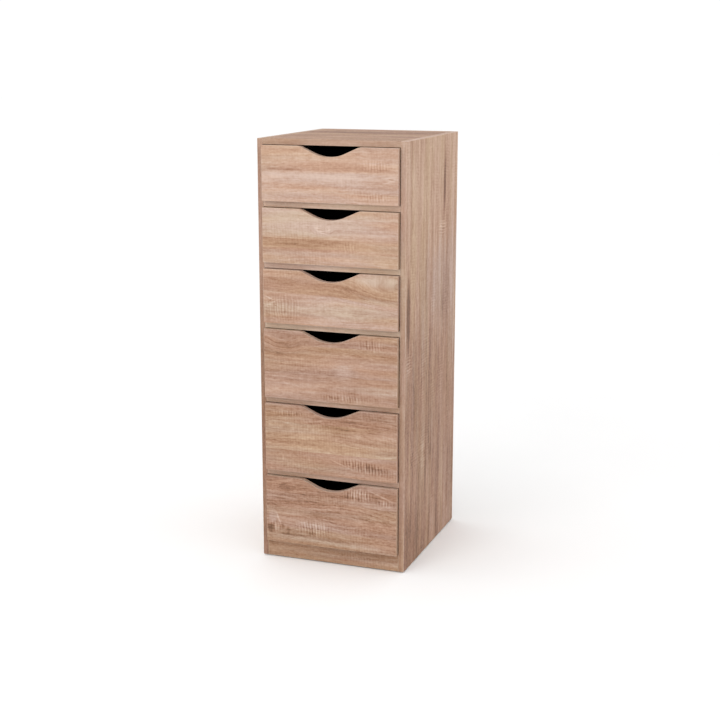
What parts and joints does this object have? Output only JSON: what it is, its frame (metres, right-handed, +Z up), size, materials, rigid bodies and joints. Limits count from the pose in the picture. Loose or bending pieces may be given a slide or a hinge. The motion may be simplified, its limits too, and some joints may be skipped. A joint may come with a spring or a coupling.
{
  "type": "tall chest of drawers",
  "caption": "Tall narrow chest of drawers in oak-decor board with proud handle-less fronts, dipped finger cut-outs and a flush plinth.",
  "frame": {"origin": "on the floor, below the middle of the whole outline of the closed chest", "axes": "+Z up, +Y to the back, +X to the right of a person who faces the drawers; the drawers pull out along -Y"},
  "size_m": [0.4, 0.463, 1.12],
  "materials": {
    "oak_decor_board": "melamine-faced particle board with a light Sonoma-type oak decor, satin, faint embossed grain",
    "hardboard": "thin brown hardboard, smooth side inwards",
    "graphite_foil_board": "particle board wrapped in near-black graphite foil, matte",
    "dark_hardboard": "thin hardboard lacquered near-black on top",
    "runner_plastic": "black moulded plastic, slightly glossy where it rubs",
    "glide_plastic": "brown moulded plastic"
  },
  "bodies": {
    "carcass": {"side_panel_left": "oak_decor_board", "side_panel_right": "oak_decor_board", "top_panel": "oak_decor_board", "bottom_panel": "oak_decor_board", "plinth_front": "oak_decor_board", "plinth_rear": "oak_decor_board", "rail_1": "oak_decor_board", "rail_2": "oak_decor_board", "rail_3": "oak_decor_board", "rail_4": "oak_decor_board", "rail_5": "oak_decor_board", "back_panel": "hardboard", "glide_front_left": "glide_plastic", "glide_front_right": "glide_plastic", "glide_rear_left": "glide_plastic", "glide_rear_right": "glide_plastic", "drawer_1_runner_left": "runner_plastic", "drawer_1_runner_right": "runner_plastic", "drawer_2_runner_left": "runner_plastic", "drawer_2_runner_right": "runner_plastic", "drawer_3_runner_left": "runner_plastic", "drawer_3_runner_right": "runner_plastic", "drawer_4_runner_left": "runner_plastic", "drawer_4_runner_right": "runner_plastic", "drawer_5_runner_left": "runner_plastic", "drawer_5_runner_right": "runner_plastic", "drawer_6_runner_left": "runner_plastic", "drawer_6_runner_right": "runner_plastic"},
    "drawer_1": {"drawer_1_front": "oak_decor_board", "drawer_1_side_left": "graphite_foil_board", "drawer_1_side_right": "graphite_foil_board", "drawer_1_back": "graphite_foil_board", "drawer_1_bottom": "dark_hardboard"},
    "drawer_2": {"drawer_2_front": "oak_decor_board", "drawer_2_side_left": "graphite_foil_board", "drawer_2_side_right": "graphite_foil_board", "drawer_2_back": "graphite_foil_board", "drawer_2_bottom": "dark_hardboard"},
    "drawer_3": {"drawer_3_front": "oak_decor_board", "drawer_3_side_left": "graphite_foil_board", "drawer_3_side_right": "graphite_foil_board", "drawer_3_back": "graphite_foil_board", "drawer_3_bottom": "dark_hardboard"},
    "drawer_4": {"drawer_4_front": "oak_decor_board", "drawer_4_side_left": "graphite_foil_board", "drawer_4_side_right": "graphite_foil_board", "drawer_4_back": "graphite_foil_board", "drawer_4_bottom": "dark_hardboard"},
    "drawer_5": {"drawer_5_front": "oak_decor_board", "drawer_5_side_left": "graphite_foil_board", "drawer_5_side_right": "graphite_foil_board", "drawer_5_back": "graphite_foil_board", "drawer_5_bottom": "dark_hardboard"},
    "drawer_6": {"drawer_6_front": "oak_decor_board", "drawer_6_side_left": "graphite_foil_board", "drawer_6_side_right": "graphite_foil_board", "drawer_6_back": "graphite_foil_board", "drawer_6_bottom": "dark_hardboard"}
  },
  "joints": [
    {"name": "drawer_1_slide", "type": "slide", "parent": "carcass", "child": "drawer_1", "axis": [0, -1, 0], "range_m": [0, 0.3]},
    {"name": "drawer_2_slide", "type": "slide", "parent": "carcass", "child": "drawer_2", "axis": [0, -1, 0], "range_m": [0, 0.3]},
    {"name": "drawer_3_slide", "type": "slide", "parent": "carcass", "child": "drawer_3", "axis": [0, -1, 0], "range_m": [0, 0.3]},
    {"name": "drawer_4_slide", "type": "slide", "parent": "carcass", "child": "drawer_4", "axis": [0, -1, 0], "range_m": [0, 0.3]},
    {"name": "drawer_5_slide", "type": "slide", "parent": "carcass", "child": "drawer_5", "axis": [0, -1, 0], "range_m": [0, 0.3]},
    {"name": "drawer_6_slide", "type": "slide", "parent": "carcass", "child": "drawer_6", "axis": [0, -1, 0], "range_m": [0, 0.3]}
  ]
}
